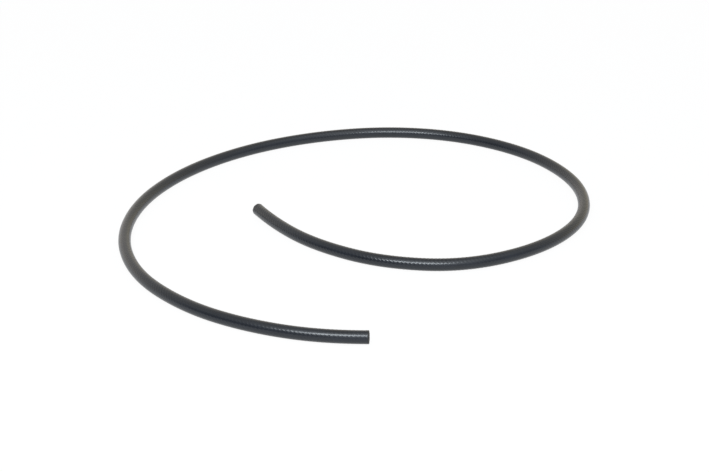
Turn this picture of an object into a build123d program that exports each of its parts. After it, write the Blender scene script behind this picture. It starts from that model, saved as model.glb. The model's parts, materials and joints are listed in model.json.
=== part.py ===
from build123d import *
import math
import os

# A cut length of soaker hose, lying on the ground in one open loop.
#
# From the bore outwards it is made of an inner tube, two plies of reinforcing yarn wound
# in opposite directions, and a cover. Both ends are cut square and are bare.
#
# Frame: millimetres, +Z up. The ground is z = 0 and the origin is under the middle of the
# loop. The outer cut end is at -Y, and from there to the inner cut end the hose runs
# clockwise, seen from above.

# Driving dimensions: the bore, and each layer of the wall from the bore outwards
bore_diameter = 12.7
inner_tube_wall = 0.85
yarn_ply_thickness = 0.3
cover_wall = 0.54
layer_clearance = 0.02

# The lie of the hose: its centre line over the ground, from the outer end to the inner end
route = [
    (10, -342),
    (-45, -342),
    (-139, -313),
    (-224, -260),
    (-294, -171),
    (-327, -56),
    (-316, 67),
    (-264, 180),
    (-178, 270),
    (-68, 328),
    (55, 348),
    (175, 320),
    (273, 242),
    (326, 129),
    (318, 9),
    (249, -91),
    (142, -144),
    (28, -137),
    (-60, -83),
    (-120, -10),
    (-145, 38),
]
arc_share = 0.45  # of the shorter run, taken up by the arc at each point

# Radii of the layers
bore_radius = bore_diameter / 2
inner_tube_radius = bore_radius + inner_tube_wall
inner_ply_bore = inner_tube_radius + layer_clearance
inner_ply_radius = inner_ply_bore + yarn_ply_thickness
outer_ply_bore = inner_ply_radius + layer_clearance
outer_ply_radius = outer_ply_bore + yarn_ply_thickness
cover_bore = outer_ply_radius + layer_clearance
hose_radius = cover_bore + cover_wall

# The path: straight runs joined by tangent arcs, one hose radius above the ground
path_points = [Vector(x, y, hose_radius) for x, y in route]
runs = [end - start for start, end in zip(path_points, path_points[1:])]
bend_radii = []
for before, after in zip(runs, runs[1:]):
    half_turn = math.radians(before.get_angle(after)) / 2
    shorter = min(before.length, after.length)
    bend_radii.append(arc_share * shorter / math.tan(half_turn))

with BuildLine() as centre_line:
    FilletPolyline(*path_points, radius=bend_radii)
path = centre_line.wire()
outer_end = Plane(origin=path @ 0, z_dir=path % 0)

os.makedirs("parts", exist_ok=True)

# The inner tube, which holds the water
with BuildPart() as inner_tube:
    with BuildSketch(outer_end):
        Circle(inner_tube_radius)
        Circle(bore_radius, mode=Mode.SUBTRACT)
    sweep(path=path)
inner_tube.part.label = "inner_tube"
export_step(inner_tube.part, "parts/inner_tube.step")

# The ply of yarn wound on the inner tube
with BuildPart() as inner_yarn_ply:
    with BuildSketch(outer_end):
        Circle(inner_ply_radius)
        Circle(inner_ply_bore, mode=Mode.SUBTRACT)
    sweep(path=path)
inner_yarn_ply.part.label = "inner_yarn_ply"
export_step(inner_yarn_ply.part, "parts/inner_yarn_ply.step")

# The ply wound over it the other way
with BuildPart() as outer_yarn_ply:
    with BuildSketch(outer_end):
        Circle(outer_ply_radius)
        Circle(outer_ply_bore, mode=Mode.SUBTRACT)
    sweep(path=path)
outer_yarn_ply.part.label = "outer_yarn_ply"
export_step(outer_yarn_ply.part, "parts/outer_yarn_ply.step")

# The cover, the black rubber skin that shows
with BuildPart() as cover:
    with BuildSketch(outer_end):
        Circle(hose_radius)
        Circle(cover_bore, mode=Mode.SUBTRACT)
    sweep(path=path)
cover.part.label = "cover"
export_step(cover.part, "parts/cover.step")

section = math.pi * (hose_radius**2 - cover_bore**2)
print("hose radius", round(hose_radius, 3), "length", round(path.length, 1))
print("bend radii", [round(radius) for radius in bend_radii])
print("cover volume", round(cover.part.volume), "section x length", round(section * path.length))
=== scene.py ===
import json
import math

import bpy
import numpy as np
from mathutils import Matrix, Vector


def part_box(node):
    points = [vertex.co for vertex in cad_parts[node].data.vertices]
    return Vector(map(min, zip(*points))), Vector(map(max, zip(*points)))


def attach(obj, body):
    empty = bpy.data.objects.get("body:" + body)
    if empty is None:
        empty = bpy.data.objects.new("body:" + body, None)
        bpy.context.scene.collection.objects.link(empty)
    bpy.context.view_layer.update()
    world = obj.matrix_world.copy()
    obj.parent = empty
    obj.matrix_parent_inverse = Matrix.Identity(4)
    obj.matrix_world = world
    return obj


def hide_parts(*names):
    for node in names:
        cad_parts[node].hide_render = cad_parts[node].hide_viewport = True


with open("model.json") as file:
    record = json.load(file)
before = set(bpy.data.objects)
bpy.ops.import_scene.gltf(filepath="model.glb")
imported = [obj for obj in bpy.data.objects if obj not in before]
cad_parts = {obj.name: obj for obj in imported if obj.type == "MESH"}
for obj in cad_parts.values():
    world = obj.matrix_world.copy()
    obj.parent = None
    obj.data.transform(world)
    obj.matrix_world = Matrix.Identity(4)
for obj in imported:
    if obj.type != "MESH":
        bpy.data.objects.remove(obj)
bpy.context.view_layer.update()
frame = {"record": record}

# ---- Sizes, in metres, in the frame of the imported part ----
MM = 0.001
# Points that steer the hose's centre line over the ground, from the outer cut end to the inner
ROUTE = [
    (0.0095, -0.342),
    (-0.045, -0.342),
    (-0.139, -0.313),
    (-0.223, -0.259),
    (-0.294, -0.171),
    (-0.328, -0.056),
    (-0.317, 0.067),
    (-0.264, 0.179),
    (-0.178, 0.2685),
    (-0.068, 0.327),
    (0.055, 0.349),
    (0.175, 0.321),
    (0.273, 0.243),
    (0.326, 0.129),
    (0.318, 0.009),
    (0.249, -0.0893),
    (0.138, -0.1472),
    (0.028, -0.1355),
    (-0.060, -0.082),
    (-0.120, -0.010),
    (-0.1456, 0.0391),
]
MOUNTS = {mount["name"]: mount["dims"] for mount in frame["record"]["mounts"]}
HOSE_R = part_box("cover")[1][2] / 2  # the hose lies on the ground, so its top is two radii up
BORE_R = MOUNTS["outer_end_bore"]["r_mm"] * MM
TUBE_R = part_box("inner_tube")[1][2] - HOSE_R
INNER_PLY_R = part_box("inner_yarn_ply")[1][2] - HOSE_R  # outside of each ply's yarns
OUTER_PLY_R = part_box("outer_yarn_ply")[1][2] - HOSE_R
LAYER_GAP = 0.02 * MM  # keeps the cover's bore clear of the tube
COVER_BORE_R = TUBE_R + LAYER_GAP  # the cover's rubber has run in between the yarns

YARNS_PER_PLY = 8
YARN_LEAD = 41.6 * MM  # length of hose in which a yarn goes once round
YARN_WIDTH = 1.5 * MM
YARN_THICKNESS = 0.22 * MM
YARN_DEPTH = 0.15 * MM  # from the outside of a ply to the middle of its yarns
FRAY = 0.12 * MM  # how far the yarns stand out of the cuts

RELIEF = 0.18 * MM  # how far the skin rises over a crossing of yarns, on average,
SUNK = 0.08 * MM  # from where it lies this far inside the hose's own radius, between them

LINE_STEP = 1 * MM  # between the points that are read from the route
AROUND = 48  # segments around the hose
RING_STEP = YARN_LEAD / YARNS_PER_PLY / 6  # six rings of skin to each yarn that passes
BORE_STEP = 4 * RING_STEP  # the bores are smooth and need fewer
YARN_STEPS = 24  # rings of a yarn's mesh in one turn around the hose

COVER_EDGE = 0.3 * MM  # rounding of the cut edges
TUBE_EDGE = 0.1 * MM
# A hand's cut leans a little: how far along the hose each face leans per step sideways and up
OUTER_CUT = (0.09, 0.04)
INNER_CUT = (-0.12, 0.0)
CUT_FADE = 10 * MM  # how far from the end the rings still lean with the cut
PAINTED_SHADE_REACH = 2.0 * MM  # painted shade: the skin is painted quite black and made duller as far as this from each cut, standing in for the shade at the rounded cut edges, and fully as far as this
PAINTED_SHADE_FULL = 0.8 * MM  # and all over as far as this


# ---- Small helpers for node materials ----
def material(name):
    """A new node material and its main shader."""
    made = bpy.data.materials.new(name)
    made.use_nodes = True
    return made, made.node_tree.nodes["Principled BSDF"]


def add_node(owner, kind, inputs=None, **settings):
    """A new node in a material or world, with its settings and the values of its inputs."""
    node = owner.node_tree.nodes.new(kind)
    for name, value in settings.items():
        setattr(node, name, value)
    for name, value in (inputs or {}).items():
        node.inputs[name].default_value = value
    return node


def wire(owner, source, target):
    """Link an output to an input."""
    owner.node_tree.links.new(source, target)


def noise(owner, place, scale, detail=2.0, roughness=0.5):
    """A noise pattern over a vector, as a factor from 0 to 1."""
    values = {"Scale": scale, "Detail": detail, "Roughness": roughness}
    node = add_node(owner, "ShaderNodeTexNoise", values)
    wire(owner, place, node.inputs["Vector"])
    return node.outputs["Fac"]


def stretched(owner, place, scale):
    """A vector scaled by a different amount along each axis."""
    node = add_node(owner, "ShaderNodeMapping", {"Scale": scale})
    wire(owner, place, node.inputs["Vector"])
    return node.outputs["Vector"]


def spread(owner, factor, low, high, to_low, to_high):
    """A factor mapped from one range to another, held at its ends."""
    values = {"From Min": low, "From Max": high, "To Min": to_low, "To Max": to_high}
    node = add_node(owner, "ShaderNodeMapRange", values)
    wire(owner, factor, node.inputs["Value"])
    return node.outputs["Result"]


def sum_of(owner, first, second, share):
    """First plus second times a share."""
    node = add_node(owner, "ShaderNodeMath", operation="MULTIPLY_ADD")
    node.inputs[1].default_value = share
    wire(owner, second, node.inputs[0])
    wire(owner, first, node.inputs[2])
    return node.outputs["Value"]


def product(owner, first, second):
    """First times second."""
    node = add_node(owner, "ShaderNodeMath", operation="MULTIPLY")
    wire(owner, first, node.inputs[0])
    wire(owner, second, node.inputs[1])
    return node.outputs["Value"]


def blend_colours(owner, factor, first, second):
    """A colour from first, where the factor is 0, to second, where it is 1."""
    node = add_node(owner, "ShaderNodeMix", data_type="RGBA")
    for name, value in (("A", first), ("B", second)):
        if isinstance(value, tuple):
            node.inputs[name].default_value = value
        else:
            wire(owner, value, node.inputs[name])
    wire(owner, factor, node.inputs["Factor"])
    return node.outputs["Result"]


def laid_out(owner):
    """The surface's place on the hose if it were laid out straight: along, sideways and up."""
    node = add_node(owner, "ShaderNodeAttribute", attribute_name="laid_out")
    return node.outputs["Vector"]


def bump(owner, shader, height, depth):
    """Raise the shader's surface by a height from 0 to 1 times a depth."""
    node = add_node(owner, "ShaderNodeBump", {"Strength": 1.0, "Distance": depth})
    wire(owner, height, node.inputs["Height"])
    wire(owner, node.outputs["Normal"], shader.inputs["Normal"])


# ---- Finishes ----
def painted_cut_shade(owner, place, length):
    """Painted shade: from 0 on most of the hose to 1 at its two cuts, where the shade at the
    rounded cut edges is painted in.
    """
    split = add_node(owner, "ShaderNodeSeparateXYZ")
    wire(owner, place, split.inputs[0])
    outer = spread(owner, split.outputs["X"], PAINTED_SHADE_FULL, PAINTED_SHADE_REACH, 1, 0)
    inner = spread(owner, split.outputs["X"], length - PAINTED_SHADE_REACH, length - PAINTED_SHADE_FULL, 0, 1)
    return sum_of(owner, outer, inner, 1)


def cover_rubber(length):
    """Extruded black rubber: satin, with fine draw lines along it and a faint grey bloom.

    Near each cut it is made dull and painted quite black, a painted shade standing in for the
    shade at the rounded cut edges.
    """
    made, shader = material("cover_rubber")
    place = laid_out(made)
    # painted shade: a band at each cut, where the shade at the rounded cut edges is painted in
    cut_shade = painted_cut_shade(made, place, length)
    lines = noise(made, stretched(made, place, (0.04, 1, 1)), 1100, 3)
    bloom = noise(made, stretched(made, place, (0.3, 1, 1)), 90, 4, 0.6)
    grain = noise(made, place, 2600, 2)
    tone = sum_of(made, lines, bloom, 0.8)
    tone = spread(made, tone, 0.65, 1.15, 0, 1)
    dark, pale = (0.001, 0.002, 0.005, 1), (0.004, 0.006, 0.012, 1)
    clean = blend_colours(made, tone, dark, pale)
    # painted shade: quite black near each cut, standing in for the shade at the rounded cut
    # edges
    colour = blend_colours(made, cut_shade, clean, (0.004, 0.004, 0.004, 1))
    wire(made, colour, shader.inputs["Base Color"])
    roughness = spread(made, sum_of(made, bloom, lines, 0.5), 0.5, 1.0, 0.22, 0.33)
    # the painted shade near each cut is also made duller
    wire(made, sum_of(made, roughness, cut_shade, 0.4), shader.inputs["Roughness"])
    shader.inputs["Specular IOR Level"].default_value = 0.63  # carbon black raises the index
    shader.inputs["Specular Tint"].default_value = (0.91, 0.965, 1.0, 1)
    bump(made, shader, sum_of(made, lines, grain, 0.5), 0.012 * MM)
    return made


def cut_rubber():
    """The knife-cut face of the rubber: matt, paler, with the blade's drag marks."""
    made, shader = material("cut_rubber")
    place = laid_out(made)
    marks = noise(made, stretched(made, place, (1, 0.15, 1)), 2400, 3)
    grain = noise(made, place, 3200, 2)
    tone = sum_of(made, marks, grain, 0.4)
    tone = spread(made, tone, 0.5, 0.95, 0, 1)
    dark, pale = (0.010, 0.010, 0.010, 1), (0.030, 0.029, 0.028, 1)
    wire(made, blend_colours(made, tone, dark, pale), shader.inputs["Base Color"])
    shader.inputs["Roughness"].default_value = 0.7
    bump(made, shader, tone, 0.06 * MM)
    return made


def tube_rubber():
    """The smooth black rubber of the inner tube."""
    made, shader = material("tube_rubber")
    place = laid_out(made)
    lines = noise(made, stretched(made, place, (0.03, 1, 1)), 900, 3)
    specks = noise(made, place, 1500, 2)
    tone = spread(made, sum_of(made, lines, specks, 0.6), 0.5, 1.1, 0, 1)
    dark, pale = (0.016, 0.016, 0.017, 1), (0.034, 0.034, 0.036, 1)
    wire(made, blend_colours(made, tone, dark, pale), shader.inputs["Base Color"])
    wire(made, spread(made, specks, 0.3, 0.7, 0.42, 0.56), shader.inputs["Roughness"])
    bump(made, shader, lines, 0.03 * MM)
    return made


def yarn_finish():
    """Twisted polyester yarn: grey-beige, dirtied by the rubber, with fibres along it."""
    made, shader = material("yarn")
    place = laid_out(made)
    fibres = noise(made, place, 5200, 3, 0.6)
    dirt = noise(made, place, 700, 3)
    tone = spread(made, sum_of(made, fibres, dirt, 0.8), 0.6, 1.2, 0, 1)
    dark, pale = (0.13, 0.125, 0.11, 1), (0.36, 0.35, 0.31, 1)
    wire(made, blend_colours(made, tone, dark, pale), shader.inputs["Base Color"])
    shader.inputs["Roughness"].default_value = 0.8
    shader.inputs["Sheen Weight"].default_value = 0.2
    bump(made, shader, fibres, 0.08 * MM)
    return made


# ---- Camera: at the photograph's height and angle ----
CAMERA_PLACE = (-0.008, -1.992, 0.904)
CAMERA_PITCH = 24.78  # degrees down from level
LENS = 79.2
SENSOR = 36


def make_camera():
    """The camera, which looks straight back and down at the loop."""
    data = bpy.data.cameras.new("camera")
    data.sensor_width = SENSOR
    data.lens = LENS
    camera = bpy.data.objects.new("camera", data)
    camera.location = CAMERA_PLACE
    camera.rotation_euler = (math.radians(90 - CAMERA_PITCH), 0, 0)
    bpy.context.collection.objects.link(camera)
    bpy.context.scene.camera = camera


# ---- The route: one NURBS spline, from which every piece takes its line ----
def route_line(step):
    """Points along the route's spline, evenly spaced, and the direction at each."""
    curve = bpy.data.curves.new("route", "CURVE")
    curve.dimensions = "3D"
    spline = curve.splines.new("NURBS")
    spline.points.add(len(ROUTE) - 1)
    for point, (x, y) in zip(spline.points, ROUTE):
        point.co = (x, y, HOSE_R, 1)
    spline.order_u = 3
    spline.use_endpoint_u = True
    spline.resolution_u = 64
    holder = bpy.data.objects.new("route", curve)
    mesh = bpy.data.meshes.new_from_object(holder)
    read = np.array([tuple(v.co) for v in mesh.vertices])
    bpy.data.objects.remove(holder)
    bpy.data.curves.remove(curve)
    bpy.data.meshes.remove(mesh)
    walked = np.r_[0, np.cumsum(np.linalg.norm(np.diff(read, axis=0), axis=1))]
    count = round(walked[-1] / step) + 1
    at = np.linspace(0, walked[-1], count)
    line = np.stack([np.interp(at, walked, read[:, k]) for k in range(3)], axis=1)
    heading = np.gradient(line, axis=0)
    heading /= np.linalg.norm(heading, axis=1)[:, None]
    return at, line, heading


def on_hose(distances, radii, turns):
    """Points at distances along the hose, and at radii and angles around its centre line.

    Angle 0 is level, on the loop's outer side, and a quarter turn is up. All three arrays
    are rings by segments. Near each end the points lean with the cut.
    """
    where = distances[:, 0]
    centre = np.stack([np.interp(where, AT, LINE[:, k]) for k in range(3)], axis=1)
    ahead = np.stack([np.interp(where, AT, HEADING[:, k]) for k in range(3)], axis=1)
    ahead /= np.linalg.norm(ahead, axis=1)[:, None]
    centre += ahead * (where - np.clip(where, 0, AT[-1]))[:, None]  # straight on past the ends
    side = np.cross([0, 0, 1.0], ahead)
    level, up = radii * np.cos(turns), radii * np.sin(turns)
    near_outer = np.clip(1 - distances / CUT_FADE, 0, 1) ** 2
    near_inner = np.clip(1 - (AT[-1] - distances) / CUT_FADE, 0, 1) ** 2
    lean = near_outer * (OUTER_CUT[0] * level + OUTER_CUT[1] * up)
    lean += near_inner * (INNER_CUT[0] * level + INNER_CUT[1] * up)
    points = centre[:, None, :] + side[:, None, :] * level[..., None]
    points += np.array([0, 0, 1.0]) * up[..., None] + ahead[:, None, :] * lean[..., None]
    straight = np.stack([distances, level, up], axis=-1)
    return points.reshape(-1, 3), straight.reshape(-1, 3)


def mesh_piece(name, points, straight, faces, finishes, finish_of=None):
    """A smooth mesh that rides on the part, with its place on the straightened hose."""
    mesh = bpy.data.meshes.new(name)
    mesh.from_pydata(points, [], faces)
    for finish in finishes:
        mesh.materials.append(finish)
    smooth = np.ones(len(faces), dtype=bool)
    if finish_of is not None:
        mesh.polygons.foreach_set("material_index", finish_of)
        smooth = finish_of == 0
    mesh.polygons.foreach_set("use_smooth", smooth)
    laid = mesh.attributes.new("laid_out", "FLOAT_VECTOR", "POINT")
    laid.data.foreach_set("vector", np.ravel(straight))
    piece = bpy.data.objects.new(name, mesh)
    bpy.context.collection.objects.link(piece)
    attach(piece, "root")
    return piece


def ring_faces(rings, around, closed):
    """Quads between neighbouring rings, and from the last ring to the first if closed."""
    faces = []
    for i in range(rings if closed else rings - 1):
        j = (i + 1) % rings
        for k in range(around):
            n = (k + 1) % around
            faces.append((i * around + k, i * around + n, j * around + n, j * around + k))
    return faces


# ---- The layers of the hose ----
def relief(distances, turns):
    """From 0 between the yarns to about 1 over a crossing of two of them.

    The yarns aren't laid quite evenly, so their lines wander and their mark comes and goes.
    It is weaker towards the outer end and stronger towards the inner one.
    """
    wander = 0.10 * np.sin(distances / (31 * MM)) + 0.08 * np.sin(distances / (11.7 * MM) + 2)
    along = 2 * math.pi * distances / YARN_LEAD
    outer = 0.5 + 0.5 * np.cos(YARNS_PER_PLY * (turns - along) + wander)
    inner = 0.5 + 0.5 * np.cos(YARNS_PER_PLY * (turns + along) - 2 * wander)
    depth = 0.72 + 0.6 * distances / AT[-1] + 0.12 * np.sin(distances / (23 * MM) + turns)
    return (0.7 * outer + 0.3 * inner) * depth


def hose_layer(name, inside, outside, edge, finishes, embossed=False):
    """One closed tube along the route: its outside, a cut face, its bore and the other face."""
    length = AT[-1]
    corner = np.radians([0, 30, 60])  # steps of the rounded edge, from the cut to the skin
    back, drop = edge * (1 - np.cos(corner)), edge * (1 - np.sin(corner))
    skin = np.linspace(edge, length - edge, round(length / RING_STEP) + 1)
    bore = np.linspace(length, 0, round(length / BORE_STEP) + 1)
    rings = np.r_[back, skin, length - back[::-1], bore]
    outline = [outside - drop, np.full(len(skin), outside), outside - drop[::-1]]
    radii = np.r_[(*outline, np.full(len(bore), inside))]
    turns = np.tile(np.arange(AROUND) * 2 * math.pi / AROUND, (len(rings), 1))
    distances = np.tile(rings[:, None], (1, AROUND))
    radii = np.tile(radii[:, None], (1, AROUND))
    if embossed:
        raised = RELIEF * relief(distances, turns) - SUNK
        radii = radii + np.where(radii > (inside + outside) / 2, raised, 0)  # not in the bore
    points, straight = on_hose(distances, radii, turns)
    points[:, 2] = np.maximum(points[:, 2], 0)  # it lies on the ground
    faces = ring_faces(len(rings), AROUND, True)
    finish_of = np.zeros(len(faces), dtype=np.int32)
    skin_rings = len(rings) - len(bore)
    finish_of[(skin_rings - 1) * AROUND : skin_rings * AROUND] = 1
    finish_of[(len(rings) - 1) * AROUND :] = 1
    return mesh_piece(name, points, straight, faces, finishes, finish_of)


def yarn(name, radius, angle, hand, finish):
    """One flat yarn, wound around the hose from end to end."""
    count = round(AT[-1] / YARN_LEAD * YARN_STEPS) + 1
    distances = np.tile(np.linspace(-FRAY, AT[-1] + FRAY, count)[:, None], (1, 4))
    slope = 2 * math.pi * radius / YARN_LEAD
    half = YARN_WIDTH * math.sqrt(1 + slope**2) / (2 * radius)
    corners = np.array([(-1, -0.5), (1, -0.5), (1, 0.5), (-1, 0.5)])
    turns = angle + hand * 2 * math.pi * distances / YARN_LEAD + corners[:, 0] * half
    radii = np.tile(radius + corners[:, 1] * YARN_THICKNESS, (count, 1))
    points, straight = on_hose(distances, radii, turns)
    faces = ring_faces(count, 4, False)
    last = (count - 1) * 4
    faces += [(3, 2, 1, 0), (last, last + 1, last + 2, last + 3)]
    return mesh_piece(name, points, straight, faces, [finish])


def make_yarns():
    """Both plies, wound opposite ways; each ply's yarns replace its node."""
    finish = yarn_finish()
    plies = [
        ("inner", "inner_yarn_ply", INNER_PLY_R - YARN_DEPTH, -1),
        ("outer", "outer_yarn_ply", OUTER_PLY_R - YARN_DEPTH, 1),
    ]
    made = []
    for ply, node, radius, hand in plies:
        for number in range(YARNS_PER_PLY):
            angle = 2 * math.pi * number / YARNS_PER_PLY
            strand = yarn(f"{ply}_yarn_{number + 1}", radius, angle, hand, finish)
            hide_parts(node)
            made.append(strand)
    return made


# ---- Floor, surroundings and lamp ----
FLOOR_GLOW = 0.94  # share of plain white in what the camera and reflections see of the floor
FLOOR_REACH = 6.0


def seen_directly(owner):
    """1 for camera, glossy and transmission rays, and 0 for the rays that light things."""
    path = add_node(owner, "ShaderNodeLightPath")
    total = path.outputs["Is Camera Ray"]
    for name in ("Is Glossy Ray", "Is Transmission Ray"):
        either = add_node(owner, "ShaderNodeMath", operation="MAXIMUM")
        wire(owner, total, either.inputs[0])
        wire(owner, path.outputs[name], either.inputs[1])
        total = either.outputs["Value"]
    return total


def make_stage():
    """A plain white floor, which keeps the hose's shadow."""
    made, shader = material("floor")
    shader.inputs["Base Color"].default_value = (0.84, 0.87, 0.92, 1)
    shader.inputs["Roughness"].default_value = 0.9
    shader.inputs["Specular IOR Level"].default_value = 0.0
    glow = add_node(made, "ShaderNodeEmission", {"Color": (1, 1, 1, 1), "Strength": 1.0})
    mix = add_node(made, "ShaderNodeMixShader")
    wire(made, spread(made, seen_directly(made), 0, 1, 0, FLOOR_GLOW), mix.inputs[0])
    wire(made, shader.outputs["BSDF"], mix.inputs[1])
    wire(made, glow.outputs["Emission"], mix.inputs[2])
    output = made.node_tree.nodes["Material Output"]
    wire(made, mix.outputs["Shader"], output.inputs["Surface"])
    mesh = bpy.data.meshes.new("floor")
    far = FLOOR_REACH
    corners = [(-far, -far, 0), (far, -far, 0), (far, far, 0), (-far, far, 0)]
    mesh.from_pydata(corners, [], [(0, 1, 2, 3)])
    mesh.materials.append(made)
    floor = bpy.data.objects.new("floor", mesh)
    bpy.context.collection.objects.link(floor)


def height_ramp(world, height, stops):
    """A colour that changes with how far up a ray looks, from 0, level, to 1, straight up."""
    ramp = add_node(world, "ShaderNodeValToRGB")
    elements = ramp.color_ramp.elements
    while len(elements) < len(stops):
        elements.new(0.5)
    for element, (place, colour) in zip(elements, stops):
        element.position = place
        element.color = (*colour, 1)
    wire(world, height, ramp.inputs["Fac"])
    return ramp.outputs["Color"]


ROOM_LEVEL = 0.87


def make_world():
    """A white cove behind the hose, and a dimmer room in front of it.

    In front a wide soft glow brightens from the horizon up past the key to straight overhead.
    """
    world = bpy.data.worlds.new("studio")
    bpy.context.scene.world = world
    world.use_nodes = True
    background = world.node_tree.nodes["Background"]
    split = add_node(world, "ShaderNodeSeparateXYZ")
    wire(world, add_node(world, "ShaderNodeTexCoord").outputs["Generated"], split.inputs[0])
    across, deep, height = (split.outputs[axis] for axis in ("X", "Y", "Z"))
    high = (0.8, (0.84, 0.82, 0.77))
    top = (1.0, (0.66, 0.64, 0.59))
    back_left = [(0.0, (1.4, 1.31, 1.2)), (0.55, (1.0, 0.96, 0.9)), high, top]
    back_right = [(0.0, (1.24, 1.13, 0.9)), (0.55, (0.95, 0.9, 0.78)), high, top]
    front_left = [
        (0.0, (0.44, 0.46, 0.5)),
        (0.42, (0.42, 0.44, 0.47)),
        (0.6, (0.78, 0.8, 0.82)),
        (0.85, (0.75, 0.76, 0.75)),
        top,
    ]
    front_right = [
        (0.0, (0.6, 0.62, 0.67)),
        (0.42, (0.7, 0.72, 0.76)),
        (0.6, (0.88, 0.9, 0.92)),
        (0.85, (0.8, 0.81, 0.8)),
        top,
    ]
    glow = [
        (0.0, (0.55, 0.57, 0.62)),
        (0.3, (1.2, 1.23, 1.28)),
        (0.6, (1.55, 1.58, 1.62)),
        (1.0, (1.85, 1.85, 1.83)),
    ]
    sides = (back_left, back_right, front_left, front_right, glow)
    colours = [height_ramp(world, height, stops) for stops in sides]
    rightwards = spread(world, across, -0.3, 0.3, 0, 1)
    back = blend_colours(world, rightwards, colours[0], colours[1])
    front = blend_colours(world, rightwards, colours[2], colours[3])
    room = blend_colours(world, spread(world, deep, -0.25, 0.4, 1, 0), back, front)
    from_left = spread(world, across, -0.5, -0.2, 0, 1)
    from_right = spread(world, across, 0.3, 0.7, 1, 0)
    in_front = spread(world, deep, -0.15, 0.25, 1, 0)
    glowing = product(world, product(world, from_left, from_right), in_front)
    wire(world, blend_colours(world, glowing, room, colours[4]), background.inputs["Color"])
    background.inputs["Strength"].default_value = ROOM_LEVEL


KEY_PLACE = (-0.2, -1.45, 1.46)
KEY_TARGET = (0, -0.1, 0)
KEY_SIZE = (1.4, 0.4)
KEY_WATTS = 24


def make_key():
    """The one lamp: a wide soft box high in front, which draws the glint along the hose."""
    data = bpy.data.lights.new("key", "AREA")
    data.shape = "RECTANGLE"
    data.size, data.size_y = KEY_SIZE
    data.energy = KEY_WATTS
    data.color = (0.96, 0.98, 1)
    key = bpy.data.objects.new("key", data)
    key.location = KEY_PLACE
    ahead = [t - p for t, p in zip(KEY_TARGET, KEY_PLACE)]
    key.rotation_euler = Vector(ahead).to_track_quat("-Z", "Y").to_euler()
    bpy.context.collection.objects.link(key)


# ---- Build ----
make_camera()
AT, LINE, HEADING = route_line(LINE_STEP)  # distance, place and direction of each point
CUT = cut_rubber()
skin = [cover_rubber(AT[-1]), CUT]
cover = hose_layer("hose_cover", COVER_BORE_R, HOSE_R, COVER_EDGE, skin, True)
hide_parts("cover")
lining = [tube_rubber(), CUT]
tube = hose_layer("water_tube", BORE_R, TUBE_R, TUBE_EDGE, lining)
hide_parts("inner_tube")
strands = make_yarns()

make_stage()
make_world()
make_key()

bpy.context.scene.view_settings.view_transform = "Standard"
